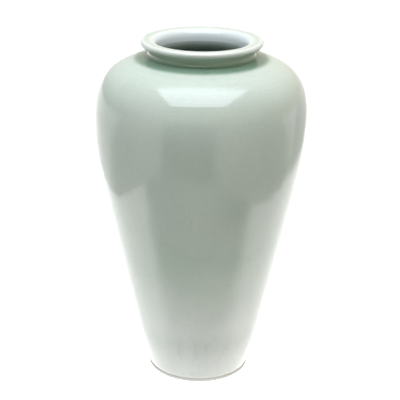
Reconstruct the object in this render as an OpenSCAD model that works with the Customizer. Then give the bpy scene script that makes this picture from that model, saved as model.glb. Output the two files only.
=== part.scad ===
// A thrown porcelain vase with a celadon glaze: a narrow foot, a wall that leans out to a
// high full shoulder, a short neck and a flared, rolled lip. The clay is in five sections,
// stacked and luted on level joints, and the glaze is in three coats over them.
// Every piece is a turned shape about the Z axis. The vase stands on z = 0.

/* [Overall] */
// Height from the table to the top of the lip
vase_h = 350; // [346:1:356]
// Diameter at the widest point
belly_d = 212.6; // [205:0.2:220]
// Height of the widest point
belly_z = 270; // [262:1:274]

/* [Foot] */
// Diameter of the foot just above the table
foot_d = 103; // [98:0.2:106]
// Height of the turned line where the outer glaze stops
glaze_line_z = 3.6; // [3:0.1:4.5]
// Height of the luted foot ring
foot_h = 7; // [6:0.5:7]
// Depth of the hollow under the base, up to the clay
recess_h = 12; // [12:0.5:14]
// Diameter of the hollow under the base
recess_d = 86; // [80:0.5:88]
// Radius in the corner of the glazed hollow under the base
recess_fillet = 4; // [3:0.5:4]

/* [Wall] */
// Radius of the wall where the sweep up from the foot ends
knee_r = 69.2; // [67:0.2:71]
// Height where the sweep up from the foot ends
knee_z = 68; // [65:0.5:72]
// Outward lean of the wall above the knee, in degrees
wall_lean = 12.4; // [11:0.1:13]
// Wall thickness at the knee, glaze included
wall_low_t = 9; // [8:0.5:11]
// Wall thickness at the shoulder, glaze included
wall_high_t = 7; // [6:0.5:8]
// Thickness of the floor, glaze included
floor_t = 10; // [8:0.5:13]
// Height of the joint between the lower and the upper thrown section
seam_z = 176; // [150:1:200]

/* [Neck and lip] */
// Height of the line where the neck rises from the shoulder
neck_z = 335; // [332:0.5:337]
// Diameter of that line
neck_d = 106.6; // [105:0.2:110]
// Diameter of the narrowest part of the neck
waist_d = 103.4; // [101:0.2:105]
// Diameter across the lip
lip_d = 121; // [119:0.5:124]
// Thickness of the rolled edge of the lip
lip_t = 6.2; // [5:0.1:7]
// Diameter of the throat
throat_d = 87; // [84:0.5:90]

/* [Glaze] */
// Thickness of the glaze
glaze_t = 1; // [0.6:0.1:1.2]

/* [Hidden] */

foot_r = foot_d / 2;
recess_r = recess_d / 2;
belly_r = belly_d / 2;
neck_r = neck_d / 2;
waist_r = waist_d / 2;
lip_r = lip_d / 2;
throat_r = throat_d / 2;

// Height of the slope under the lip, from the joint up to the rolled edge
lip_slope_h = 1.6;
// Height where the neck joins the underside of the lip
lip_joint_z = vase_h - lip_t - lip_slope_h;
// Height of the floor inside
floor_z = recess_h + floor_t;
// Radius of the flat middle of the floor
floor_flat_r = 22;
// Depth of the mouth's roll, from the top of the lip to the straight throat
mouth_roll_h = 12;
// How far the glaze under the base stops above the table
base_glaze_z = 1.4;
// Width of the chamfer on the inner edge of the foot
foot_chamfer = 0.8;
// How far the bare bead stands out from the foot of the wall
bead_out = 0.6;
// Height of the turned groove between the bead and the glaze
groove_h = 0.6;
// Radius of the bead's lower edge
toe_r = 1;
// Radius of the bead's upper edge
crown_r = 0.9;
// Room for the squares that cut the wall into sections
beyond = 20;

// How far the handles of the outline's curves lie from the points where its parts join:
// along the wall, below and above the knee
sweep_low_reach = 41;
sweep_high_reach = 10;
belly_low_reach = 143;
// Straight below and above the widest point
belly_under_reach = 48;
belly_over_reach = 52;
// Out and down from the line where the neck rises
shoulder_reach = [29, -8.4];
// In and up from that line, and in from the waist at the joint under the lip
neck_rise = [-2.2, 1.4];
waist_in = 0.4;
// From the throat's edge, along the top of the lip and up the throat
roll_top_reach = 3;
roll_side_reach = 10.5;
// Down the throat, and up from where the inside leaves the shoulder
throat_reach = 9;
shoulder_in_reach = 8;
// Down the inside from the knee, and out from the flat of the floor
floor_side_reach = 44;
floor_flat_reach = 20;
// Steps of the shoulder, next to the neck, that the inside doesn't follow
shoulder_skip = 6;
// Directions where arcs start and end, in degrees from the level
down = -90;
up = 90;

// Straight stretches of a curve
foot_steps = 10;
belly_steps = 30;
shoulder_steps = 28;
cove_steps = 8;
edge_steps = 16;
roll_steps = 14;
inside_steps = 12;
corner_steps = 6;

knee = [knee_r, knee_z];
belly = [belly_r, belly_z];
// Where the neck rises from the shoulder
neck_foot = [neck_r, neck_z];
// Where the mouth's roll meets the straight throat
throat_top = [throat_r, vase_h - mouth_roll_h];
// Direction of the wall above the knee
lean = [sin(wall_lean), cos(wall_lean)];
// Centre of the rolled edge of the lip
edge_centre = [lip_r - lip_t / 2, vase_h - lip_t / 2];
// Where the rolled edge starts, as an angle from the level, under the lip
edge_start = -75;

// A point on the cubic curve with handles p
function on_curve(p, t) =
    pow(1 - t, 3) * p[0] + 3 * t * pow(1 - t, 2) * p[1]
    + 3 * t * t * (1 - t) * p[2] + pow(t, 3) * p[3];

// The cubic curve with handles p, without its first point
function curve(p, steps) = [for (i = [1:steps]) on_curve(p, i / steps)];

// The arc from angle a to angle b about centre c, without its first point
function arc(c, r, a, b, steps) =
    [for (i = [1:steps]) let (turn = a + (b - a) * i / steps)
        c + r * [cos(turn), sin(turn)]];

// Direction into the clay, square to a path that keeps the clay on its left
function inward(path, i) =
    let (ahead = path[min(i + 1, len(path) - 1)],
         behind = path[max(i - 1, 0)],
         along = (ahead - behind) / norm(ahead - behind))
    [-along[1], along[0]];

// A path moved into the clay by the thickness t
function inset(path, t) =
    [for (i = [0:len(path) - 1]) path[i] + t * inward(path, i)];

// Wall thickness at the height z
function wall_t(z) =
    let (part = min(1, max(0, (z - knee_z) / (belly_z - knee_z))))
    wall_low_t + part * (wall_high_t - wall_low_t);

function reversed(path) = [for (i = [len(path) - 1:-1:0]) path[i]];

// Outer face of the glaze, from the glaze line up to the neck
outer_wall = concat(
    [[foot_r, glaze_line_z]],
    curve([[foot_r, glaze_line_z], knee - sweep_low_reach * lean,
           knee - sweep_high_reach * lean, knee], foot_steps),
    curve([knee, knee + belly_low_reach * lean, belly - [0, belly_under_reach], belly],
          belly_steps),
    curve([belly, belly + [0, belly_over_reach], neck_foot + shoulder_reach, neck_foot],
          shoulder_steps));

// Outer face of the neck and the rolled lip, and the roll down into the throat
edge_first = edge_centre + lip_t / 2 * [cos(edge_start), sin(edge_start)];
mouth = concat(
    curve([neck_foot, neck_foot + neck_rise, [waist_r - waist_in, lip_joint_z], edge_first],
          cove_steps),
    arc(edge_centre, lip_t / 2, edge_start, up, edge_steps),
    curve([[edge_centre[0], vase_h], [throat_r + roll_top_reach, vase_h],
           throat_top + [0, roll_side_reach], throat_top], roll_steps));

// The inside follows the outside from below the neck down to the knee
top_index = foot_steps + belly_steps + shoulder_steps - shoulder_skip;
inner_wall = [for (i = [top_index:-1:foot_steps])
    outer_wall[i] + wall_t(outer_wall[i][1]) * inward(outer_wall, i)];
inner_top = inner_wall[0];
inner_top_run = (inner_wall[0] - inner_wall[1]) / norm(inner_wall[0] - inner_wall[1]);
inner_knee = inner_wall[len(inner_wall) - 1];

// Inner face of the glaze, from the throat down to the middle of the floor
inside = concat(
    curve([throat_top, [throat_r, neck_z - throat_reach],
           inner_top + shoulder_in_reach * inner_top_run, inner_top], inside_steps),
    [for (i = [1:len(inner_wall) - 1]) inner_wall[i]],
    curve([inner_knee, inner_knee - floor_side_reach * lean,
           [floor_flat_r + floor_flat_reach, floor_z], [floor_flat_r, floor_z]],
          inside_steps),
    [[floor_flat_r / 2, floor_z], [0, floor_z]]);

// The whole glazed face, and the clay face under it
glaze_face = concat(outer_wall, mouth, inside);
clay_face = inset(glaze_face, glaze_t);
// Where the outer coat meets the inner coat, at the foot of the mouth's roll
coat_joint = len(outer_wall) + len(mouth) - 1;

// Face of the hollow under the base, from the middle out, moved into the clay by t
function hollow_face(t) = concat(
    [[0, recess_h - glaze_t + t], [recess_r - recess_fillet, recess_h - glaze_t + t]],
    arc([recess_r - recess_fillet, recess_h - glaze_t - recess_fillet],
        recess_fillet + t, up, 0, corner_steps),
    [[recess_r + t, base_glaze_z]]);
base_face = hollow_face(0);
base_clay_face = hollow_face(glaze_t);

// Bare edge of the foot, from its inner chamfer out round the bead to the groove above it
bead_edge_r = foot_r + bead_out;
bead_top_z = glaze_line_z - groove_h;
bare_foot = concat(
    [[recess_r + glaze_t, foot_chamfer], [recess_r + glaze_t + foot_chamfer, 0]],
    [[bead_edge_r - toe_r, 0]],
    arc([bead_edge_r - toe_r, toe_r], toe_r, down, 0, corner_steps),
    arc([bead_edge_r - crown_r, bead_top_z - crown_r], crown_r, 0, up, corner_steps));

clay_outline = concat(clay_face, base_clay_face, bare_foot);

// One section of the clay, between two levels
module clay_section(low, high) {
    rotate_extrude() intersection() {
        polygon(clay_outline);
        translate([0, low]) square([belly_r + beyond, high - low]);
    }
}

// One coat of glaze, between its outer face and the clay face
module glaze_coat(face, under) {
    rotate_extrude() polygon(concat(face, reversed(under)));
}

// The points of a path from first to last
function stretch(path, first, last) = [for (i = [first:last]) path[i]];

module foot_ring() {
    color("#e8e4da") clay_section(0, foot_h);
}

module lower_body() {
    color("#dfe3dc") clay_section(foot_h, seam_z);
}

module upper_body() {
    color("#dbe2da") clay_section(seam_z, neck_z);
}

module neck_collar() {
    color("#d9e0d8") clay_section(neck_z, lip_joint_z);
}

module lip() {
    color("#e3e8e1") clay_section(lip_joint_z, vase_h);
}

module outer_glaze() {
    color("#cfe0d5")
        glaze_coat(stretch(glaze_face, 0, coat_joint), stretch(clay_face, 0, coat_joint));
}

module inner_glaze() {
    last = len(glaze_face) - 1;
    color("#bccfc2")
        glaze_coat(stretch(glaze_face, coat_joint, last), stretch(clay_face, coat_joint, last));
}

module base_glaze() {
    color("#c6d8cc") glaze_coat(base_face, base_clay_face);
}

foot_ring();
lower_body();
upper_body();
neck_collar();
lip();
outer_glaze();
inner_glaze();
base_glaze();
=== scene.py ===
"""A thrown porcelain vase under a pale celadon glaze, modelled and dressed on its frame.

The glaze coats and the bare foot are turned from their outlines on the wheel's axis. The clay
under them is the frame's own. Everything is in metres, with the vase standing on z = 0.
"""

import logging
import math
import random
from dataclasses import dataclass, field, replace
from enum import Enum
import bpy
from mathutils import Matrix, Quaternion, Vector


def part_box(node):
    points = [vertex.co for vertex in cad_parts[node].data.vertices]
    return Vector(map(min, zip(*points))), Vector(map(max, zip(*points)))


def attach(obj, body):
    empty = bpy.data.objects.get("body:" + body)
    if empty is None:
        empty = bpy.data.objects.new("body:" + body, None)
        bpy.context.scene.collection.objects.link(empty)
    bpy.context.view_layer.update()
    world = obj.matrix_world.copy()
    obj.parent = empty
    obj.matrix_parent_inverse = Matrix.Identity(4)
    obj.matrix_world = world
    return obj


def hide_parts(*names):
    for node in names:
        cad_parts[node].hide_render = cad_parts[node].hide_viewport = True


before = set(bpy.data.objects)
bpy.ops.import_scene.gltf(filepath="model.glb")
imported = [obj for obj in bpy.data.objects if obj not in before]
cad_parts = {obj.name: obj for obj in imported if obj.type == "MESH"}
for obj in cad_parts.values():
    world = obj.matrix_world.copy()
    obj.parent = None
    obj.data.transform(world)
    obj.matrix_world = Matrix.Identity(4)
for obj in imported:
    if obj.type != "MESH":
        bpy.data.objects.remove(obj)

LOG = logging.getLogger("vase")
MM = 0.001
BODY = "root"
WALL_STEPS = (40, 130, 80)
WHITE = (1.0, 1.0, 1.0)
Point = tuple[float, float]
Path = list[Point]
Triple = tuple[float, float, float]
Colour = Triple
Socket = bpy.types.NodeSocket
Input = Socket | float | Colour
Layer = tuple[Input, float, Colour]


# ---------------------------------------------------------------------------------------------
# Outlines: paths of (radius, height) in the plane y = 0
# ---------------------------------------------------------------------------------------------


def curve(handles: list[Point], steps: int) -> Path:
    """The cubic curve through its first and last handle.

    Args:
        handles: The four handles.
        steps: How many straight stretches stand for the curve.

    Returns:
        The points of the curve after the first.
    """
    points = []
    for i in range(1, steps + 1):
        t = i / steps
        weights = ((1 - t) ** 3, 3 * t * (1 - t) ** 2, 3 * t * t * (1 - t), t**3)
        points.append(
            tuple(sum(w * h[axis] for w, h in zip(weights, handles)) for axis in (0, 1))
        )
    return points


def arc(centre: Point, radius: float, start: float, end: float, steps: int) -> Path:
    """Part of a circle.

    Args:
        centre: The circle's centre.
        radius: The circle's radius.
        start: The first angle, in degrees from the outward direction.
        end: The last angle.
        steps: How many straight stretches stand for the arc.

    Returns:
        The points of the arc after the first.
    """
    angles = [math.radians(start + (end - start) * i / steps) for i in range(1, steps + 1)]
    return [
        (centre[0] + radius * math.cos(a), centre[1] + radius * math.sin(a)) for a in angles
    ]


def inward(path: Path, i: int) -> Point:
    """The direction into the clay at a point of a path that keeps the clay on its left.

    Args:
        path: The path.
        i: The point's index.

    Returns:
        The direction, one metre long.
    """
    ahead, behind = path[min(i + 1, len(path) - 1)], path[max(i - 1, 0)]
    run, rise = ahead[0] - behind[0], ahead[1] - behind[1]
    length = math.hypot(run, rise)
    return -rise / length, run / length


def inset(path: Path, depth: float) -> Path:
    """A path moved into the clay.

    Args:
        path: The path to move.
        depth: How far.

    Returns:
        The moved path, with no point across the axis.
    """
    moved = []
    for i, point in enumerate(path):
        normal = inward(path, i)
        moved.append((max(0.0, point[0] + depth * normal[0]), point[1] + depth * normal[1]))
    return moved


# ---------------------------------------------------------------------------------------------
# The form of the vase
# ---------------------------------------------------------------------------------------------


@dataclass(frozen=True)
class Throwing:
    """The rings that the potter's fingers leave in the wall.

    Attributes:
        pitch: Distance from ring to ring.
        depth: How far the hollows go in.
        shy: How far the wall between them lies inside the outline.
        seed: Seed of the rings' unevenness.
        octaves: The waves that a ring is the sum of, as multiples of the pitch's own.
    """

    pitch: float = 4.2 * MM
    depth: float = 0.01 * MM
    shy: float = 0.05 * MM
    seed: int = 7
    octaves: tuple[float, ...] = (0.55, 1.0, 1.7)

    def hollow(self, height: float) -> float:
        """How far the wall lies inside its outline.

        Args:
            height: Height above the table.

        Returns:
            The distance.
        """
        draw = random.Random(self.seed)
        total = 0.0
        for octave in self.octaves:
            phase = draw.uniform(0, 2 * math.pi)
            total += 0.5 + 0.5 * math.sin(2 * math.pi * height / (self.pitch / octave) + phase)
        return self.shy + self.depth * total / len(self.octaves)


@dataclass(frozen=True)
class VaseForm:
    """The sizes of the vase, in metres and degrees. What the frame gives is read from it.

    A pull is how far a curve's handle stands from its end: the further, the fuller the curve.

    Attributes:
        glaze: Thickness of the glaze.
        foot_r: Radius of the wall at the glaze line.
        glaze_line: Height at which the outer glaze stops.
        recess_h: Height of the hollow under the base.
        recess_r: Radius of that hollow.
        recess_fillet: Rounding of its corner.
        base_glaze_z: Height at which the hollow's glaze stops.
        foot_chamfer: Bevel of the foot's inner edge.
        bead_out: How far the foot's bead stands out from the wall.
        groove_h: Height of the groove between the bead and the glaze.
        toe_r: Rounding of the foot's outer edge.
        crown_r: Rounding of the top of the bead.
        knee: Where the wall straightens above the foot.
        lean: Angle of the wall above the knee from the upright.
        belly_z: Height of the widest place.
        foot_pull: Pull at the foot, measured back from the knee.
        knee_pull: Pulls below and above the knee.
        belly_pull: Pulls below and above the widest place.
        neck_pull: Pull at the neck, outwards and down.
        wall_low: Thickness of the wall at the knee, glaze and all.
        wall_high: Thickness of the wall at the widest place.
        floor_t: Thickness of the floor over the hollow.
        floor_flat: Radius of the flat part of the floor.
        neck_r: Radius at the foot of the neck.
        waist_r: Radius of the neck's waist.
        waist_in: How far the pulls at the waist lie inside it, low and high.
        waist_up: Height of the lower pull above the foot of the neck.
        lip_r: Radius of the lip.
        lip_t: Thickness of the lip.
        lip_from: Angle at which the lip's round edge starts, from the outward direction.
        throat_r: Radius of the throat.
        throat_pull: Pulls of the roll into the throat, outwards and down.
        throat_drop: How far below the neck the throat's curve is pulled.
        roll_h: Height of the roll into the throat.
        shoulder_pull: Pull of the inside under the shoulder.
        heel_pull: Pull of the inside at the heel of the wall.
        floor_pull: Pull of the inside at the edge of the floor.
        throwing: The rings of throwing.
        height: Height of the vase, a hair under the frame's.
        belly_r: Radius of the widest place.
        foot_h: Height of the foot ring.
        neck_z: Height of the joint under the neck.
        lip_joint: Height of the joint under the lip.
    """

    glaze: float = 1.0 * MM
    foot_r: float = 51.5 * MM
    glaze_line: float = 3.6 * MM
    recess_h: float = 12.0 * MM
    recess_r: float = 43.0 * MM
    recess_fillet: float = 4.0 * MM
    base_glaze_z: float = 1.4 * MM
    foot_chamfer: float = 0.8 * MM
    bead_out: float = 0.6 * MM
    groove_h: float = 0.6 * MM
    toe_r: float = 1.0 * MM
    crown_r: float = 0.9 * MM
    knee: Point = (69.2 * MM, 68.0 * MM)
    lean: float = 12.4
    belly_z: float = 270.0 * MM
    foot_pull: float = 41.0 * MM
    knee_pull: Point = (10.0 * MM, 143.0 * MM)
    belly_pull: Point = (48.0 * MM, 52.0 * MM)
    neck_pull: Point = (29.0 * MM, 8.4 * MM)
    wall_low: float = 9.0 * MM
    wall_high: float = 7.0 * MM
    floor_t: float = 10.0 * MM
    floor_flat: float = 22.0 * MM
    neck_r: float = 53.3 * MM
    waist_r: float = 51.7 * MM
    waist_in: Point = (0.6 * MM, 0.4 * MM)
    waist_up: float = 1.4 * MM
    lip_r: float = 60.5 * MM
    lip_t: float = 6.2 * MM
    lip_from: float = -75.0
    throat_r: float = 43.5 * MM
    throat_pull: Point = (3.0 * MM, 1.5 * MM)
    throat_drop: float = 9.0 * MM
    roll_h: float = 12.0 * MM
    shoulder_pull: float = 8.0 * MM
    heel_pull: float = 44.0 * MM
    floor_pull: float = 20.0 * MM
    throwing: Throwing = field(default_factory=Throwing)
    height: float = field(default_factory=lambda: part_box("outer_glaze")[1].z - 0.002 * MM)
    belly_r: float = field(default_factory=lambda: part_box("outer_glaze")[1].x)
    foot_h: float = field(default_factory=lambda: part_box("foot_ring")[1].z)
    neck_z: float = field(default_factory=lambda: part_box("neck_collar")[0].z)
    lip_joint: float = field(default_factory=lambda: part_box("lip")[0].z)

    @property
    def rise(self) -> Point:
        """Direction of the straight wall above the knee."""
        angle = math.radians(self.lean)
        return math.sin(angle), math.cos(angle)

    def along(self, start: Point, distance: float) -> Point:
        """The point at a distance from start along the wall's direction."""
        return start[0] + distance * self.rise[0], start[1] + distance * self.rise[1]

    def wall(self) -> Path:
        """The outside of the glaze.

        Returns:
            The path from the glaze line above the foot up to the neck.
        """
        foot = (self.foot_r, self.glaze_line)
        belly = (self.belly_r, self.belly_z)
        neck = (self.neck_r, self.neck_z)
        knee, below, above = self.knee, self.knee_pull[0], self.knee_pull[1]
        under_belly = (belly[0], belly[1] - self.belly_pull[0])
        over_belly = (belly[0], belly[1] + self.belly_pull[1])
        by_neck = (neck[0] + self.neck_pull[0], neck[1] - self.neck_pull[1])
        stretches = (
            [foot, self.along(knee, -self.foot_pull), self.along(knee, -below), knee],
            [knee, self.along(knee, above), under_belly, belly],
            [belly, over_belly, by_neck, neck],
        )
        path = [foot]
        for handles, steps in zip(stretches, WALL_STEPS):
            path += curve(handles, steps)
        return path

    def ringed_wall(self) -> Path:
        """The wall with its throwing rings, which fade out at the foot and at the neck.

        Returns:
            The path, with as many points as the plain wall.
        """
        path = self.wall()
        ringed = []
        for i, point in enumerate(path):
            from_foot = (point[1] - self.glaze_line) / (20 * MM)
            from_neck = (self.neck_z - point[1]) / (10 * MM)
            fade = max(0.0, min(1.0, from_foot, from_neck))
            depth = fade * self.throwing.hollow(point[1])
            normal = inward(path, i)
            ringed.append((point[0] + depth * normal[0], point[1] + depth * normal[1]))
        return ringed

    def mouth(self) -> Path:
        """The neck and the rolled lip.

        Returns:
            The path from the foot of the neck over the lip and down into the throat.
        """
        round_r = self.lip_t / 2
        centre = (self.lip_r - round_r, self.height - round_r)
        start = math.radians(self.lip_from)
        edge = (centre[0] + round_r * math.cos(start), centre[1] + round_r * math.sin(start))
        top = (centre[0], self.height)
        path = curve(
            [
                (self.neck_r, self.neck_z),
                (self.waist_r - self.waist_in[0], self.neck_z + self.waist_up),
                (self.waist_r - self.waist_in[1], self.lip_joint),
                edge,
            ],
            18,
        )
        path += arc(centre, round_r, self.lip_from, 90, 28)
        path += curve(
            [
                top,
                (self.throat_r + self.throat_pull[0], self.height),
                (self.throat_r, self.height - self.throat_pull[1]),
                (self.throat_r, self.height - self.roll_h),
            ],
            28,
        )
        return path

    def inside(self) -> Path:
        """The inside of the glaze.

        Returns:
            The path from the throat down to the middle of the floor.
        """
        outer = self.wall()
        inner = []
        knee_at, short_of_neck, every = WALL_STEPS[0], 18, 3
        for i in range(len(outer) - short_of_neck, knee_at - 1, -every):
            share = (outer[i][1] - self.knee[1]) / (self.belly_z - self.knee[1])
            thick = self.wall_low + max(0.0, min(1.0, share)) * (self.wall_high - self.wall_low)
            normal = inward(outer, i)
            inner.append((outer[i][0] + thick * normal[0], outer[i][1] + thick * normal[1]))
        top, second, bottom = inner[0], inner[1], inner[-1]
        length = math.dist(top, second)
        run = ((top[0] - second[0]) / length, (top[1] - second[1]) / length)
        floor_z = self.recess_h + self.floor_t
        path = curve(
            [
                (self.throat_r, self.height - self.roll_h),
                (self.throat_r, self.neck_z - self.throat_drop),
                (top[0] + self.shoulder_pull * run[0], top[1] + self.shoulder_pull * run[1]),
                top,
            ],
            20,
        )
        path += inner[1:]
        path += curve(
            [
                bottom,
                self.along(bottom, -self.heel_pull),
                (self.floor_flat + self.floor_pull, floor_z),
                (self.floor_flat, floor_z),
            ],
            24,
        )
        return path + [(self.floor_flat / 2, floor_z), (0.0, floor_z)]

    def hollow(self, depth: float) -> Path:
        """The hollow under the base, from the middle out.

        Args:
            depth: How far the path lies into the clay from the glaze's face.

        Returns:
            The path.
        """
        ceiling = self.recess_h - self.glaze
        corner_r = self.recess_r - self.recess_fillet
        path = [(0.0, ceiling + depth), (corner_r / 2, ceiling + depth)]
        path += [(corner_r, ceiling + depth)]
        path += arc(
            (corner_r, ceiling - self.recess_fillet), self.recess_fillet + depth, 90, 0, 10
        )
        return path + [(self.recess_r + depth, self.base_glaze_z)]


# ---------------------------------------------------------------------------------------------
# Work at the wheel: outlines spun into pieces
# ---------------------------------------------------------------------------------------------


def start_edit(piece: bpy.types.Object) -> None:
    """Makes a piece the only selected one and opens it for editing.

    Args:
        piece: The piece.
    """
    bpy.ops.object.select_all(action="DESELECT")
    piece.select_set(True)
    bpy.context.view_layer.objects.active = piece
    bpy.ops.object.mode_set(mode="EDIT")


def turn_on_wheel(name: str, outline: Path, segments: int) -> bpy.types.Object:
    """Spins a closed outline about the wheel's axis.

    Args:
        name: The piece's name.
        outline: Points of the outline, which joins up with its start or ends on the axis.
        segments: Steps of the spin.

    Returns:
        The piece, smooth, with its normals outwards.
    """
    first = outline[0]
    bpy.ops.object.select_all(action="DESELECT")
    bpy.ops.mesh.primitive_plane_add(size=1 * MM, location=(first[0], 0, first[1]))
    piece = bpy.context.active_object
    piece.name = name
    piece.data.name = name
    bpy.ops.object.transform_apply(location=True)
    start_edit(piece)
    bpy.ops.mesh.select_all(action="SELECT")
    bpy.ops.mesh.merge(type="CENTER")
    for here, there in zip(outline, outline[1:]):
        step = (there[0] - here[0], 0, there[1] - here[1])
        bpy.ops.mesh.extrude_vertices_move(TRANSFORM_OT_translate={"value": step})
    bpy.ops.mesh.select_all(action="SELECT")
    bpy.ops.mesh.spin(
        steps=segments, angle=2 * math.pi, center=(0, 0, 0), axis=(0, 0, 1), dupli=False
    )
    bpy.ops.mesh.select_all(action="SELECT")
    bpy.ops.mesh.remove_doubles(threshold=0.002 * MM)
    bpy.ops.mesh.normals_make_consistent(inside=False)
    bpy.ops.object.mode_set(mode="OBJECT")
    bpy.ops.object.shade_smooth_by_angle(angle=math.radians(40))
    return piece


def seat(piece: bpy.types.Object, node: str) -> None:
    """Fixes a piece to the body in place of a node of the frame.

    Args:
        piece: The new piece.
        node: The node that it stands for.
    """
    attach(piece, BODY)
    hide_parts(node)
    LOG.info("%s: %d faces in place of %s", piece.name, len(piece.data.polygons), node)


# ---------------------------------------------------------------------------------------------
# Node building
# ---------------------------------------------------------------------------------------------


class Wiring:
    """A node tree and short calls for adding to it."""

    def __init__(self, tree: bpy.types.NodeTree) -> None:
        """Keeps the tree that the calls add to."""
        self.tree = tree

    def add(self, kind: str, **inputs: Input | str | bpy.types.NodeTree) -> bpy.types.Node:
        """Adds a node and fills its inputs.

        Args:
            kind: The node's type name.
            **inputs: Values or sockets, by input name with _ for a space. A name that starts
                with set_ is a setting of the node.

        Returns:
            The node.
        """
        node = self.tree.nodes.new(kind)
        for name, value in inputs.items():
            if name.startswith("set_"):
                setattr(node, name[4:], value)
        for name, value in inputs.items():
            if not name.startswith("set_"):
                self.fill(node.inputs[name.replace("_", " ")], value)
        return node

    def fill(self, socket: Socket, value: Input) -> None:
        """Links a socket into an input, or sets the input to a value.

        Args:
            socket: The input.
            value: The socket to link from, or the value.
        """
        if isinstance(value, Socket):
            self.tree.links.new(value, socket)
        elif isinstance(value, tuple) and len(value) == 3 and socket.type == "RGBA":
            socket.default_value = (*value, 1.0)
        else:
            socket.default_value = value

    def math(self, operation: str, *values: Input, clamp: bool = False) -> Socket:
        """One step of arithmetic.

        Args:
            operation: The Math node's operation.
            *values: Its inputs, in order.
            clamp: Whether the result is kept from 0 to 1.

        Returns:
            The result's socket.
        """
        node = self.tree.nodes.new("ShaderNodeMath")
        node.operation = operation
        node.use_clamp = clamp
        for socket, value in zip(node.inputs, values):
            self.fill(socket, value)
        return node.outputs[0]

    def ease(self, value: Socket, low: float, high: float) -> Socket:
        """A smooth rise from 0 to 1, or a fall.

        Args:
            value: What is measured.
            low: Where the result is 0.
            high: Where the result is 1, which may lie below low.

        Returns:
            The result's socket.
        """
        flip = low > high
        node = self.add(
            "ShaderNodeMapRange",
            set_interpolation_type="SMOOTHSTEP",
            Value=value,
            From_Min=min(low, high),
            From_Max=max(low, high),
            To_Min=1.0 if flip else 0.0,
            To_Max=0.0 if flip else 1.0,
        )
        return node.outputs["Result"]

    def blend(self, share: Input, first: Input, second: Input) -> Socket:
        """Mixes two colours.

        Args:
            share: How much of the second colour.
            first: The first colour.
            second: The second colour.

        Returns:
            The mixed colour's socket.
        """
        node = self.tree.nodes.new("ShaderNodeMix")
        node.data_type = "RGBA"
        self.fill(node.inputs[0], share)
        self.fill(node.inputs[6], first)
        self.fill(node.inputs[7], second)
        return node.outputs[2]

    def layer(self, base: Colour, layers: list[Layer]) -> Input:
        """Lays colours over a base in turn.

        Args:
            base: The first colour.
            layers: The mask, the greatest share and the colour of each layer.

        Returns:
            The last colour's socket.
        """
        for mask, share, colour in layers:
            base = self.blend(self.math("MULTIPLY", mask, share), base, colour)
        return base

    def mix(self, share: Input, first: Input, second: Input) -> Socket:
        """The number between two others.

        Args:
            share: How far towards the second.
            first: The first number.
            second: The second number.

        Returns:
            The mixed number's socket.
        """
        node = self.tree.nodes.new("ShaderNodeMix")
        self.fill(node.inputs[0], share)
        self.fill(node.inputs[2], first)
        self.fill(node.inputs[3], second)
        return node.outputs[0]

    def noise(self, place: Socket, scale: float, detail: float, rough: float = 0.5) -> Socket:
        """Soft noise.

        Args:
            place: The place it is read at.
            scale: How many of its largest waves go into a metre.
            detail: How many finer waves it has.
            rough: How strong they are.

        Returns:
            The noise's socket, from 0 to 1.
        """
        node = self.add(
            "ShaderNodeTexNoise", Vector=place, Scale=scale, Detail=detail, Roughness=rough
        )
        return node.outputs["Fac"]

    def stretch(self, place: Socket, factors: Triple) -> Socket:
        """A place with each of its axes multiplied by a factor."""
        node = self.add("ShaderNodeVectorMath", set_operation="MULTIPLY", Vector=place)
        node.inputs[1].default_value = factors
        return node.outputs[0]

    def length(self, place: Socket) -> Socket:
        """Distance of a place from the origin."""
        node = self.add("ShaderNodeVectorMath", set_operation="LENGTH", Vector=place)
        return node.outputs["Value"]

    def effect(self, group: bpy.types.NodeTree, place: Socket, **values: float) -> bpy.types.Node:
        """Adds a shared effect at a place, with its own values."""
        return self.add("ShaderNodeGroup", set_node_tree=group, Place=place, **values)

    def bump(self, relief: Socket) -> Socket:
        """The normal of a surface with a relief in millimetres."""
        node = self.add("ShaderNodeBump", Height=relief, Strength=1.0, Distance=1.0 * MM)
        return node.outputs["Normal"]


def new_group(
    name: str, inputs: dict[str, float], outputs: tuple[str, ...]
) -> tuple[bpy.types.NodeTree, Wiring, bpy.types.Node, bpy.types.Node]:
    """Starts a group of nodes for an effect.

    Args:
        name: The group's name.
        inputs: Its number inputs and their defaults.
        outputs: Its number outputs.

    Returns:
        The group, its wiring, its input node and its output node.
    """
    group = bpy.data.node_groups.new(name, "ShaderNodeTree")
    group.interface.new_socket("Place", in_out="INPUT", socket_type="NodeSocketVector")
    for label, value in inputs.items():
        socket = group.interface.new_socket(label, in_out="INPUT", socket_type="NodeSocketFloat")
        socket.default_value = value
    for label in outputs:
        group.interface.new_socket(label, in_out="OUTPUT", socket_type="NodeSocketFloat")
    wiring = Wiring(group)
    return group, wiring, group.nodes.new("NodeGroupInput"), group.nodes.new("NodeGroupOutput")


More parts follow.
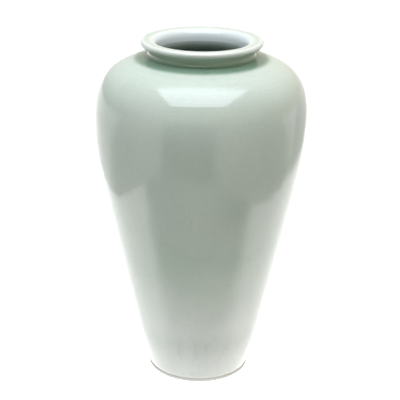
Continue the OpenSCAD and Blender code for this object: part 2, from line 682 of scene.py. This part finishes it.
class Effects:
    """The shared effects, each built once as a node group."""

    def __init__(self) -> None:
        """Builds every group."""
        self.rings = self.build_rings()
        self.crackle = self.build_crackle()
        self.specks = self.build_specks()

    def build_rings(self) -> bpy.types.NodeTree:
        """The spiral ridges of throwing.

        Returns:
            The group, which puts out a height from 0 to 1.
        """
        group, w, source, result = new_group(
            "throwing_spiral", {"Pitch": 0.006, "Waver": 0.4}, ("Height",)
        )
        place = source.outputs["Place"]
        part = w.add("ShaderNodeSeparateXYZ", Vector=place)
        turn = w.math("ARCTAN2", part.outputs["Y"], part.outputs["X"])
        turn = w.math("DIVIDE", turn, 2 * math.pi)
        rings = w.math("DIVIDE", part.outputs["Z"], source.outputs["Pitch"])
        noise = w.noise(w.stretch(place, (14.0, 14.0, 90.0)), 1.0, 3.0)
        waver = w.math("MULTIPLY", noise, source.outputs["Waver"])
        phase = w.math("ADD", w.math("ADD", rings, turn), waver)
        wave = w.math("SINE", w.math("MULTIPLY", phase, 2 * math.pi))
        w.fill(result.inputs["Height"], w.math("MULTIPLY_ADD", wave, 0.5, 0.5))
        return group

    def build_crackle(self) -> bpy.types.NodeTree:
        """The web of hairline cracks in the glaze, with a coarser web among the fine one.

        Returns:
            The group, which puts out a mask of the lines and a tone for each cell.
        """
        group, w, source, result = new_group(
            "crackle_web", {"Cell": 0.003, "Line": 0.04, "Patchy": 0.6}, ("Line", "Cell")
        )
        place = source.outputs["Place"]
        warp = w.add("ShaderNodeTexNoise", Vector=place, Scale=160.0, Detail=2.0)
        offset = w.add(
            "ShaderNodeVectorMath",
            set_operation="SCALE",
            Vector=warp.outputs["Color"],
            Scale=1.6 * MM,
        )
        moved = w.add("ShaderNodeVectorMath", set_operation="ADD", Vector=place)
        w.fill(moved.inputs[1], offset.outputs[0])
        scale = w.math("DIVIDE", 1.0, source.outputs["Cell"])
        webs = []
        for share in (1.0, 0.38):
            web = w.add(
                "ShaderNodeTexVoronoi",
                set_feature="DISTANCE_TO_EDGE",
                Vector=moved.outputs[0],
                Scale=w.math("MULTIPLY", scale, share),
            )
            near = w.math("DIVIDE", web.outputs["Distance"], source.outputs["Line"])
            webs.append(w.math("SUBTRACT", 1.0, near, clamp=True))
        line = w.math("MAXIMUM", webs[0], webs[1])
        patch = w.ease(w.noise(place, 22.0, 2.0), 0.38, 0.62)
        shown = w.math("MULTIPLY", w.math("SUBTRACT", patch, 1.0), source.outputs["Patchy"])
        w.fill(result.inputs["Line"], w.math("MULTIPLY", line, w.math("ADD", shown, 1.0)))
        cells = w.add("ShaderNodeTexVoronoi", Vector=moved.outputs[0], Scale=scale)
        tone = w.add("ShaderNodeSeparateColor", Color=cells.outputs["Color"])
        w.fill(result.inputs["Cell"], tone.outputs[0])
        return group

    def build_specks(self) -> bpy.types.NodeTree:
        """Scattered specks and pinholes.

        Returns:
            The group, which puts out a mask of the dots.
        """
        group, w, source, result = new_group(
            "specks", {"Spacing": 0.012, "Size": 0.03, "Share": 0.35}, ("Dot",)
        )
        place = source.outputs["Place"]
        cells = w.add(
            "ShaderNodeTexVoronoi",
            Vector=place,
            Scale=w.math("DIVIDE", 1.0, source.outputs["Spacing"]),
        )
        near = w.math("DIVIDE", cells.outputs["Distance"], source.outputs["Size"])
        dot = w.math("SUBTRACT", 1.0, near, clamp=True)
        tone = w.add("ShaderNodeSeparateColor", Color=cells.outputs["Color"])
        chosen = w.math("LESS_THAN", tone.outputs[0], source.outputs["Share"])
        w.fill(result.inputs["Dot"], w.math("MULTIPLY", dot, chosen))
        return group


# ---------------------------------------------------------------------------------------------
# Finishes
# ---------------------------------------------------------------------------------------------


class GlazeReach(Enum):
    """Which face of the vase a coat of glaze covers."""

    OUTSIDE = "outside"
    INSIDE = "inside"
    BASE = "base"


class GlazeSurface:
    """The places and patterns that a coat's colour, gloss and relief are worked out from."""

    def __init__(self, w: Wiring, effects: Effects) -> None:
        """Adds the patterns.

        Args:
            w: The wiring to add to.
            effects: The shared effects.
        """
        self.place = place = w.add("ShaderNodeTexCoord").outputs["Object"]
        self.height = w.add("ShaderNodeSeparateXYZ", Vector=place).outputs["Z"]
        self.radius = w.length(w.stretch(place, (1.0, 1.0, 0.0)))
        rings = w.effect(effects.rings, place, Pitch=3.4 * MM, Waver=0.9)
        fingers = w.effect(effects.rings, place, Pitch=2.3 * MM, Waver=1.6)
        crackle = w.effect(effects.crackle, place)
        self.rings, self.fingers = rings.outputs["Height"], fingers.outputs["Height"]
        self.crack, self.cell = crackle.outputs["Line"], crackle.outputs["Cell"]
        self.dot = w.effect(effects.specks, place).outputs["Dot"]
        self.cloud = w.noise(place, 14.0, 4.0, 0.55)
        self.fine = w.noise(place, 120.0, 3.0, 0.6)

    def zone(self, w: Wiring, heights: Point, radii: Point) -> Socket:
        """Where a height and a distance from the axis are both met.

        Args:
            w: The wiring to add to.
            heights: The heights at which the mask is 0 and 1.
            radii: The distances from the axis at which it is 0 and 1.

        Returns:
            The mask's socket.
        """
        return w.math("MULTIPLY", w.ease(self.height, *heights), w.ease(self.radius, *radii))


@dataclass(frozen=True)
class CeladonGlaze:
    """A glossy pale green glaze over porcelain.

    Attributes:
        reach: Which face the coat covers.
        even: Its colour where it lies evenly.
        pooled: Its colour where it has run thick. Round the neck it also lays in painted shade of
            the lip.
        thin: Its colour where it is thin. The outside is also laid paler with it towards the
            foot.
        bare: Its colour where it has drawn off an edge.
        pool_and_lip_shade: Its colour in the crease under the neck: thick glaze there, darkened
            with painted shade of the lip's overhang.
        mouth_painted_light: Its colour in the mouth, paler and bluer than the even coat: painted
            light in the throat.
        crack: The colour of its hairline cracks.
        speck: The colour of its specks.
        gloss: The surface's roughness.
        crack_depth: How much the cracks darken the colour.
    """

    reach: GlazeReach
    even: Colour = (0.610, 0.690, 0.605)
    pooled: Colour = (0.30, 0.46, 0.33)
    thin: Colour = (0.800, 0.815, 0.785)
    bare: Colour = (0.84, 0.85, 0.815)
    pool_and_lip_shade: Colour = (0.13, 0.22, 0.15)
    mouth_painted_light: Colour = (0.75, 0.83, 0.85)
    crack: Colour = (0.30, 0.36, 0.31)
    speck: Colour = (0.28, 0.25, 0.18)
    gloss: float = 0.065
    crack_depth: float = 0.16

    def thickness(
        self, w: Wiring, face: GlazeSurface, form: VaseForm
    ) -> tuple[Input, Input, Input]:
        """How thick the glaze lies, as masks.

        Args:
            w: The wiring to add to.
            face: The coat's places and patterns.
            form: The vase's sizes.

        Returns:
            Where it has pooled, partly painted shade of the lip round the neck; where it is thin;
            and where it fills the crease, pooled glaze with painted shade of the lip.
        """
        if self.reach is GlazeReach.BASE:
            pooled = w.ease(face.radius, 0.70 * form.recess_r, 0.95 * form.recess_r)
            return pooled, w.ease(face.height, 3.5 * MM, form.base_glaze_z), 0.0
        top, neck, neck_r = form.height, form.neck_z, form.neck_r
        edge_radii = (form.lip_r - 6 * MM, form.lip_r - 2 * MM)
        edge = face.zone(w, (top - 4 * MM, top - 1 * MM), edge_radii)
        rim = face.zone(w, (top - 3 * MM, top - 0.8 * MM), (54 * MM, 49 * MM))
        thin = w.math("MAXIMUM", edge, rim)
        if self.reach is GlazeReach.INSIDE:
            return w.ease(face.height, 40 * MM, 22 * MM), thin, 0.0
        # Thick glaze round the neck, with painted shade of the lip's overhang laid into it.
        crease_radii = (neck_r + 14 * MM, neck_r + 9.5 * MM)
        crease = face.zone(w, (neck + 6 * MM, neck + 1 * MM), crease_radii)
        # A darker band under the lip: pooled glaze with more painted shade of the lip's overhang.
        pooled_shade_radii = (neck_r + 16.5 * MM, neck_r + 8 * MM)
        pooled_shade_band = face.zone(w, (neck + 0.3 * MM, neck - 0.6 * MM), pooled_shade_radii)
        line = w.ease(face.height, form.glaze_line + 5 * MM, form.glaze_line)
        return crease, w.math("MAXIMUM", thin, line), pooled_shade_band

    def streaks(self, w: Wiring, face: GlazeSurface) -> Socket:
        """Faint runs of thicker glaze down the wall above the foot.

        Args:
            w: The wiring to add to.
            face: The coat's places and patterns.

        Returns:
            The mask's socket.
        """
        runs = w.ease(w.noise(w.stretch(face.place, (110.0, 110.0, 9.0)), 1.0, 2.0), 0.56, 0.74)
        low = w.math("MULTIPLY_ADD", w.ease(face.height, 60 * MM, 25 * MM), 0.16, 0.02)
        return w.math("MULTIPLY", runs, low)

    def tint(self, w: Wiring, face: GlazeSurface, form: VaseForm) -> Input:
        """The glaze's colour, from the even coat up.

        Args:
            w: The wiring to add to.
            face: The coat's places and patterns.
            form: The vase's sizes.

        Returns:
            The colour's socket.
        """
        pooled, thin, pooled_shade_band = self.thickness(w, face, form)
        layers = [
            # On the outside this is the pool round the neck, partly painted shade of the lip.
            (pooled, 0.95, self.pooled),
            (w.ease(face.cloud, 0.35, 0.70), 0.16, self.pooled),
            (w.math("SUBTRACT", 1.0, face.rings), 0.05, self.pooled),
            # Painted shade of the lip's overhang on the pooled glaze in the crease.
            (pooled_shade_band, 0.9, self.pool_and_lip_shade),
        ]
        if self.reach is GlazeReach.OUTSIDE:
            # Paler towards the foot.
            paler = w.ease(face.height, 160 * MM, 5 * MM)
            # The throat under the lip is painted paler and bluer: painted light.
            mouth = face.zone(w, (300 * MM, 320 * MM), (51 * MM, 46 * MM))
            layers += [
                (paler, 0.87, self.thin),
                (self.streaks(w, face), 1.0, self.pooled),
                (mouth, 0.8, self.mouth_painted_light),
            ]
        layers += [
            (thin, 0.7, self.bare),
            (face.crack, self.crack_depth, self.crack),
            (face.cell, 0.05, self.thin),
            (face.dot, 0.35, self.speck),
        ]
        return w.layer(self.even, layers)

    def roughness(self, w: Wiring, face: GlazeSurface) -> Socket:
        """The surface's roughness, a little uneven and higher in the cracks."""
        rough = w.math("MULTIPLY_ADD", face.fine, 0.05, self.gloss - 0.025)
        return w.math("ADD", rough, w.math("MULTIPLY", face.crack, 0.08))

    def relief(self, w: Wiring, face: GlazeSurface) -> Socket:
        """The surface's height in millimetres, with finger ripples on the shoulder.

        Args:
            w: The wiring to add to.
            face: The coat's places and patterns.

        Returns:
            The height's socket.
        """
        patches = w.ease(w.noise(face.place, 26.0, 1.0), 0.42, 0.62)
        ripple = w.math("MULTIPLY", w.ease(face.height, 256 * MM, 290 * MM), 0.042)
        ripple = w.math("MULTIPLY", w.math("ADD", ripple, 0.002), patches)
        relief = w.math("MULTIPLY", face.rings, 0.006)
        patterns = (
            (face.fingers, ripple),
            (face.cloud, 0.12),
            (face.fine, 0.012),
            (face.crack, -0.012),
        )
        for pattern, depth in patterns:
            relief = w.math("MULTIPLY_ADD", pattern, depth, relief)
        return relief

    def dress(self, effects: Effects, form: VaseForm) -> bpy.types.Material:
        """Builds the material.

        Args:
            effects: The shared effects.
            form: The vase's sizes.

        Returns:
            The material.
        """
        material = bpy.data.materials.new(f"celadon_{self.reach.value}")
        material.use_nodes = True
        w = Wiring(material.node_tree)
        face = GlazeSurface(w, effects)
        shader = material.node_tree.nodes["Principled BSDF"]
        shader.inputs["IOR"].default_value = 1.5
        w.fill(shader.inputs["Base Color"], self.tint(w, face, form))
        w.fill(shader.inputs["Roughness"], self.roughness(w, face))
        w.fill(shader.inputs["Normal"], w.bump(self.relief(w, face)))
        return material


@dataclass(frozen=True)
class FiredClay:
    """Bare porcelain, fired hard and left without glaze.

    Attributes:
        name: The material's name.
        clay: Its colour.
        stain: The colour of its stained places.
        rough: The surface's roughness.
    """

    name: str = "fired_clay"
    clay: Colour = (0.78, 0.775, 0.755)
    stain: Colour = (0.74, 0.71, 0.64)
    rough: float = 0.55

    def dress(self, effects: Effects) -> bpy.types.Material:
        """Builds the material.

        Args:
            effects: The shared effects.

        Returns:
            The material.
        """
        material = bpy.data.materials.new(self.name)
        material.use_nodes = True
        w = Wiring(material.node_tree)
        shader = material.node_tree.nodes["Principled BSDF"]
        place = w.add("ShaderNodeTexCoord").outputs["Object"]
        rings = w.effect(effects.rings, place, Pitch=0.9 * MM, Waver=0.3)
        specks = w.effect(effects.specks, place, Spacing=2.5 * MM, Size=0.12)
        grain = w.noise(place, 2200.0, 2.0)
        cloud = w.noise(place, 60.0, 4.0)
        layers = [
            (w.ease(cloud, 0.48, 0.75), 0.35, self.stain),
            (grain, 0.07, self.stain),
            (specks.outputs["Dot"], 0.5, self.stain),
        ]
        w.fill(shader.inputs["Base Color"], w.layer(self.clay, layers))
        w.fill(shader.inputs["Roughness"], w.math("MULTIPLY_ADD", cloud, 0.2, self.rough - 0.1))
        ridges = w.math("MULTIPLY", rings.outputs["Height"], 0.05)
        relief = w.math("MULTIPLY_ADD", grain, 0.05, ridges)
        w.fill(shader.inputs["Normal"], w.bump(relief))
        return material


def coat(piece: bpy.types.Object, material: bpy.types.Material) -> None:
    """Gives a whole piece one material."""
    piece.data.materials.clear()
    piece.data.materials.append(material)


# ---------------------------------------------------------------------------------------------
# Sub-assemblies
# ---------------------------------------------------------------------------------------------


@dataclass
class GlazeCoats:
    """The three coats of glaze, each a thin turned shell on the clay.

    Attributes:
        form: The vase's sizes.
        segments: Steps round the wheel.
        shaded: Colour of the glaze inside, darker than the same glaze outside: painted shade.
    """

    form: VaseForm
    segments: int = 192
    shaded: Colour = (0.53, 0.61, 0.58)

    def faces(self) -> tuple[Path, Path, int]:
        """The outlines of the coats.

        Returns:
            The glazed face, the clay face under it, and the index where the coats meet.
        """
        outer, mouth = self.form.ringed_wall(), self.form.mouth()
        plain = self.form.wall() + mouth + self.form.inside()
        face = outer + mouth + self.form.inside()
        return face, inset(plain, self.form.glaze), len(outer) + len(mouth) - 1

    def build(self) -> list[bpy.types.Object]:
        """Turns the coats and seats them on the frame.

        Returns:
            The coats, in the order of GlazeReach.
        """
        face, under, joint = self.faces()
        closed = face[: joint + 1] + under[joint::-1] + [face[0]]
        outer = turn_on_wheel("glaze_outside", closed, self.segments)
        seat(outer, "outer_glaze")
        inner_outline = [under[-1]] + under[-2 : joint - 1 : -1] + face[joint:]
        inner = turn_on_wheel("glaze_inside", inner_outline, self.segments)
        seat(inner, "inner_glaze")
        hollow, clay = self.form.hollow(0.0), self.form.hollow(self.form.glaze)
        base = turn_on_wheel("glaze_base", hollow + clay[::-1], self.segments)
        seat(base, "base_glaze")
        return [outer, inner, base]

    def dress(self, pieces: list[bpy.types.Object], effects: Effects) -> None:
        """Gives each coat its own glaze.

        Args:
            pieces: The coats, in the order of GlazeReach.
            effects: The shared effects.
        """
        for piece, reach in zip(pieces, GlazeReach):
            glaze = CeladonGlaze(reach)
            if reach is GlazeReach.INSIDE:
                # The inside coat takes a darker copy of the glaze: painted shade.
                glaze = replace(glaze, even=self.shaded)
            coat(piece, glaze.dress(effects, self.form))


@dataclass
class Foot:
    """The bare turned foot that the vase stands on.

    Attributes:
        form: The vase's sizes.
        segments: Steps round the wheel.
    """

    form: VaseForm
    segments: int = 192

    def outline(self) -> Path:
        """The section of the ring.

        Returns:
            The closed path.
        """
        form = self.form
        inner = form.recess_r + form.glaze
        edge = form.foot_r + form.bead_out
        crown_z = form.glaze_line - form.groove_h
        clay_wall = inset(form.wall(), form.glaze)
        path = [(inner, form.foot_h), (inner, form.foot_chamfer)]
        path += [(inner + 0.3 * form.foot_chamfer, 0.3 * form.foot_chamfer)]
        path += [(inner + form.foot_chamfer, 0.0), (edge - form.toe_r, 0.0)]
        path += arc((edge - form.toe_r, form.toe_r), form.toe_r, -90, 0, 8)
        path += arc((edge - form.crown_r, crown_z - form.crown_r), form.crown_r, 0, 90, 8)
        path += [point for point in clay_wall if point[1] < form.foot_h - 0.1 * MM]
        above = next(point for point in clay_wall if point[1] >= form.foot_h - 0.1 * MM)
        path += [(above[0], form.foot_h), (inner, form.foot_h)]
        return path

    def build(self) -> bpy.types.Object:
        """Turns the ring and seats it on the frame.

        Returns:
            The ring.
        """
        ring = turn_on_wheel("foot_ring_turned", self.outline(), self.segments)
        seat(ring, "foot_ring")
        return ring


@dataclass
class ClayBody:
    """The thrown sections under the glaze, which are the frame's own pieces.

    Attributes:
        sections: Their names in the frame.
    """

    sections: tuple[str, ...] = ("lower_body", "upper_body", "neck_collar", "lip")

    def dress(self, effects: Effects) -> None:
        """Gives every section the fired clay.

        Args:
            effects: The shared effects.
        """
        material = FiredClay("porcelain_body").dress(effects)
        for name in self.sections:
            coat(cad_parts[name], material)
            LOG.info("%s: the frame's own, under the glaze", name)


# ---------------------------------------------------------------------------------------------
# Studio
# ---------------------------------------------------------------------------------------------


@dataclass(frozen=True)
class Studio:
    """A pale floor, a broad soft light overhead and a dim room in front.

    The floor and the room look plain white to the camera. The glaze mirrors the brighter table,
    the light's face, the sweep behind and the dim room, where someone stands in the way.

    Attributes:
        floor_size: Side of the floor.
        table: Left, right and front edges of the bright table that the vase stands on.
        light_z: Height of the soft light.
        power: Power of the soft light.
        face: Brightness of the light's front and back, as the glaze mirrors them.
        shine: Brightness of the table's middle and sides and what its back adds, mirrored.
        sweep: Brightness of the sweep behind, mirrored.
        ceiling: Brightness of the room above, mirrored.
        gloom: Brightness of the room in front, mirrored.
        bounce: Light that the table adds to the clay, all over and close to the foot.
        room: Light that the room adds to the clay.
        cool: Tint of the soft light.
        warm: Tints of the room, on its left and on its right.
        card: Corners of the light's face: back left, back right, front left, front right.
        figure: Where the figure's left and right sides start and end, as across over ahead.
    """

    floor_size: float = 30.0
    table: Triple = (-0.375, 0.405, -0.46)
    light_z: float = 1.33
    power: float = 12.5
    face: Point = (5.5, 0.8)
    shine: Triple = (0.85, 0.5, 2.35)
    sweep: float = 0.9
    ceiling: float = 0.8
    gloom: float = 1.15
    bounce: Point = (0.10, 0.38)
    room: float = 0.44
    cool: Colour = (0.96, 1.0, 1.13)
    warm: tuple[Colour, Colour] = ((0.96, 1.0, 0.94), (1.11, 1.0, 0.81))
    card: tuple[Point, ...] = ((-0.50, 0.42), (0.60, 0.42), (-0.81, -1.10), (0.62, -1.10))
    figure: tuple[Point, Point] = ((-0.95, -0.70), (0.34, 0.18))

    def build(self) -> None:
        """Makes the floor, the lights and the world."""
        self.floor()
        self.soft_light()
        self.light_face()
        self.surround()

    def shadow(self, w: Wiring, part: bpy.types.Node, place: Socket) -> Socket:
        """Where someone stands in front, from 0 to 1.

        Args:
            w: The wiring to add to.
            part: The separated place or direction.
            place: The place or direction itself.

        Returns:
            The mask's socket.
        """
        ahead = w.math("MAXIMUM", w.math("MULTIPLY", part.outputs["Y"], -1.0), 0.01)
        turn = w.math("DIVIDE", part.outputs["X"], ahead)
        shake = w.math("SUBTRACT", w.noise(place, 7.0, 2.0), 0.5)
        turn = w.math("MULTIPLY_ADD", shake, 0.35, turn)
        left, right = self.figure
        return w.math("MULTIPLY", w.ease(turn, *left), w.ease(turn, *right))

    def on_table(self, w: Wiring, across: Socket, along: Socket) -> Socket:
        """Where the table is, with its right side slanting away toward the back.

        Args:
            w: The wiring to add to.
            across: Place from left to right.
            along: Place from front to back.

        Returns:
            The mask's socket.
        """
        left, right, front = self.table
        soft = 0.006
        spread = w.math("MAXIMUM", w.math("SUBTRACT", along, 0.10), 0.0)
        to_left = w.math("MULTIPLY_ADD", w.ease(along, 0.06, -0.04), 0.022, across)
        to_right = w.math("MULTIPLY_ADD", spread, -1.05, across)
        to_right = w.math("MULTIPLY_ADD", along, -0.55, to_right)
        from_left = w.ease(to_left, left - soft, left)
        sides = w.math("MULTIPLY", from_left, w.ease(to_right, right + soft, right))
        return w.math("MULTIPLY", sides, w.ease(along, front - 0.10, front + 0.02))

    def table_shine(self, w: Wiring, across: Socket, along: Socket) -> Socket:
        """How bright the table is as the glaze mirrors it.

        Args:
            w: The wiring to add to.
            across: Place from left to right.
            along: Place from front to back.

        Returns:
            The brightness's socket.
        """
        middle, sides, back = self.shine
        aside = w.math("ABSOLUTE", across)
        before = w.math("MULTIPLY", w.ease(along, -0.22, -0.36), middle)
        shine = w.mix(w.ease(aside, 0.06, 0.34), before, sides)
        past_foot = w.ease(w.math("MULTIPLY_ADD", aside, 0.45, along), -0.11, 0.0)
        shine = w.math("MULTIPLY_ADD", past_foot, back, shine)
        beyond = w.math("MAXIMUM", w.ease(across, 0.42, 0.60), w.ease(along, 0.4, 1.6))
        return w.mix(beyond, shine, self.gloom)

    def table_bounce(self, w: Wiring, place: Socket) -> Socket:
        """Light that the table gives back to the clay, more of it close to the foot.

        Args:
            w: The wiring to add to.
            place: The place on the floor.

        Returns:
            The brightness's socket.
        """
        all_over, by_foot = self.bounce
        close = w.math("MULTIPLY", w.ease(w.length(place), 0.20, 0.05), by_foot)
        return w.math("ADD", close, all_over)

    def room_floor(self, w: Wiring, shadow: Socket, along: Socket) -> Socket:
        """How bright the floor beyond the table is as the glaze mirrors it.

        Args:
            w: The wiring to add to.
            shadow: Where someone stands in front.
            along: Place from front to back.

        Returns:
            The brightness's socket.
        """
        lit = w.math("MULTIPLY", w.math("SUBTRACT", 1.0, shadow), self.gloom)
        return w.math("MULTIPLY", lit, w.mix(w.ease(along, 0.05, 0.30), 1.0, 1.75))

    def floor(self) -> None:
        """A pale floor that the camera sees evenly white."""
        bpy.ops.object.select_all(action="DESELECT")
        bpy.ops.mesh.primitive_plane_add(size=self.floor_size, location=(0, 0, 0))
        floor = bpy.context.active_object
        floor.name = "floor"
        material = bpy.data.materials.new("pale_floor")
        material.use_nodes = True
        material.node_tree.nodes.clear()
        w = Wiring(material.node_tree)
        place = w.add("ShaderNodeTexCoord").outputs["Object"]
        part = w.add("ShaderNodeSeparateXYZ", Vector=place)
        shake = w.math("SUBTRACT", w.noise(place, 16.0, 3.0), 0.5)
        across = w.math("MULTIPLY_ADD", shake, 0.06, part.outputs["X"])
        along = w.math("MULTIPLY_ADD", shake, -0.05, part.outputs["Y"])
        on_table = self.on_table(w, across, along)
        rays = w.add("ShaderNodeLightPath")
        seen, mirrored = rays.outputs["Is Camera Ray"], rays.outputs["Is Glossy Ray"]
        white = w.math("MAXIMUM", seen, on_table)
        tone = w.math("MULTIPLY_ADD", white, 0.74, 0.08)
        tone = w.math("MULTIPLY", tone, w.math("SUBTRACT", 1.0, mirrored))
        grey = w.add("ShaderNodeCombineColor", Red=tone, Green=tone, Blue=tone)
        diffuse = w.add("ShaderNodeBsdfDiffuse", Color=grey.outputs[0])
        table = w.mix(mirrored, self.table_bounce(w, place), self.table_shine(w, across, along))
        dim = self.room_floor(w, self.shadow(w, part, place), along)
        added = w.mix(on_table, w.math("MULTIPLY", mirrored, dim), table)
        glow = w.add("ShaderNodeEmission", Strength=w.mix(seen, added, 1.0))
        both = w.add("ShaderNodeAddShader")
        w.fill(both.inputs[0], diffuse.outputs[0])
        w.fill(both.inputs[1], glow.outputs[0])
        w.add("ShaderNodeOutputMaterial", Surface=both.outputs[0])
        floor.data.materials.append(material)

    def soft_light(self) -> None:
        """The broad light overhead."""
        bpy.ops.object.select_all(action="DESELECT")
        bpy.ops.object.light_add(type="AREA", location=(-0.02, -0.30, self.light_z))
        light = bpy.context.active_object
        light.name = "soft_light"
        light.data.shape = "RECTANGLE"
        light.data.size, light.data.size_y = 1.30, 0.60
        light.data.energy = self.power
        light.data.color = self.cool
        light.visible_glossy = False

    def light_face(self) -> None:
        """The white face of the light, which only the glaze mirrors."""
        bpy.ops.object.select_all(action="DESELECT")
        bpy.ops.mesh.primitive_plane_add(size=1.0, location=(0, 0, 0))
        card = bpy.context.active_object
        card.name = "light_face"
        sides = ((-1, 1), (1, 1), (-1, -1), (1, -1))
        places = dict(zip(sides, self.card))
        for corner in card.data.vertices:
            corner.co.xy = places[round(2 * corner.co.x), round(2 * corner.co.y)]
        card.location.z = self.light_z
        material = bpy.data.materials.new("light_face")
        material.use_nodes = True
        material.node_tree.nodes.clear()
        w = Wiring(material.node_tree)
        place = w.add("ShaderNodeTexCoord").outputs["Object"]
        along = w.add("ShaderNodeSeparateXYZ", Vector=place).outputs["Y"]
        shown = w.mix(w.ease(along, -0.10, 0.35), self.face[0], self.face[1])
        glow = w.add("ShaderNodeEmission", Strength=shown, Color=self.cool)
        w.add("ShaderNodeOutputMaterial", Surface=glow.outputs[0])
        card.data.materials.append(material)
        card.visible_camera = card.visible_diffuse = card.visible_shadow = False

    def surround(self) -> None:
        """The dim room and the white sweep behind; the camera sees it all as white."""
        world = bpy.data.worlds.new("room")
        bpy.context.scene.world = world
        world.use_nodes = True
        world.node_tree.nodes.clear()
        w = Wiring(world.node_tree)
        rays = w.add("ShaderNodeLightPath")
        way = w.add("ShaderNodeTexCoord").outputs["Generated"]
        part = w.add("ShaderNodeSeparateXYZ", Vector=way)
        behind = w.ease(part.outputs["Y"], 0.30, 0.75)
        above = w.ease(part.outputs["Z"], 0.40, 0.70)
        figure_top = w.ease(part.outputs["Z"], 0.22, 0.08)
        someone = w.math("MULTIPLY", self.shadow(w, part, way), figure_top)
        ahead = w.math("MULTIPLY", w.math("SUBTRACT", 1.0, someone), self.gloom)
        low = w.mix(behind, ahead, self.sweep)
        mirrored = w.mix(above, low, self.ceiling)
        tone = w.mix(rays.outputs["Is Glossy Ray"], self.room, mirrored)
        seen = rays.outputs["Is Camera Ray"]
        back = w.add("ShaderNodeBackground", Strength=w.mix(seen, tone, 1.0))
        tint = w.blend(w.ease(part.outputs["X"], -0.7, 0.7), *self.warm)
        w.fill(back.inputs["Color"], w.blend(seen, tint, WHITE))
        w.add("ShaderNodeOutputWorld", Surface=back.outputs[0])


@dataclass(frozen=True)
class Viewpoint:
    """Where the camera stands and how it looks.

    Attributes:
        distance: How far in front of the vase's axis.
        height: How far above the table.
        pitch: Angle below the level, in degrees.
        roll: Tilt of the picture, in degrees.
        lens: Focal length, in millimetres.
    """

    distance: float = 1.1175
    height: float = 0.6074
    pitch: float = 20.83
    roll: float = 0.70
    lens: float = 105.07

    def build(self) -> None:
        """Makes the camera."""
        data = bpy.data.cameras.new("camera")
        data.lens = self.lens
        data.clip_start = 0.05
        camera = bpy.data.objects.new("camera", data)
        bpy.context.scene.collection.objects.link(camera)
        camera.location = (0.0, -self.distance, self.height)
        turn = Vector((0, 1, 0)).to_track_quat("-Z", "Y")
        camera.rotation_mode = "QUATERNION"
        down = Quaternion((1, 0, 0), -math.radians(self.pitch))
        lean = Quaternion((0, 0, 1), math.radians(self.roll))
        camera.rotation_quaternion = down @ turn @ lean
        bpy.context.scene.camera = camera


def main() -> None:
    """Builds the vase and its studio."""
    logging.basicConfig(level=logging.INFO, format="%(name)s: %(message)s")
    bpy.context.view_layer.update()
    form = VaseForm()
    effects = Effects()
    coats = GlazeCoats(form)
    pieces = coats.build()
    coats.dress(pieces, effects)
    coat(Foot(form).build(), FiredClay("bare_foot").dress(effects))
    ClayBody().dress(effects)
    Studio().build()
    Viewpoint().build()
    bpy.context.scene.view_settings.view_transform = "Standard"


if __name__ == "__main__":
    main()
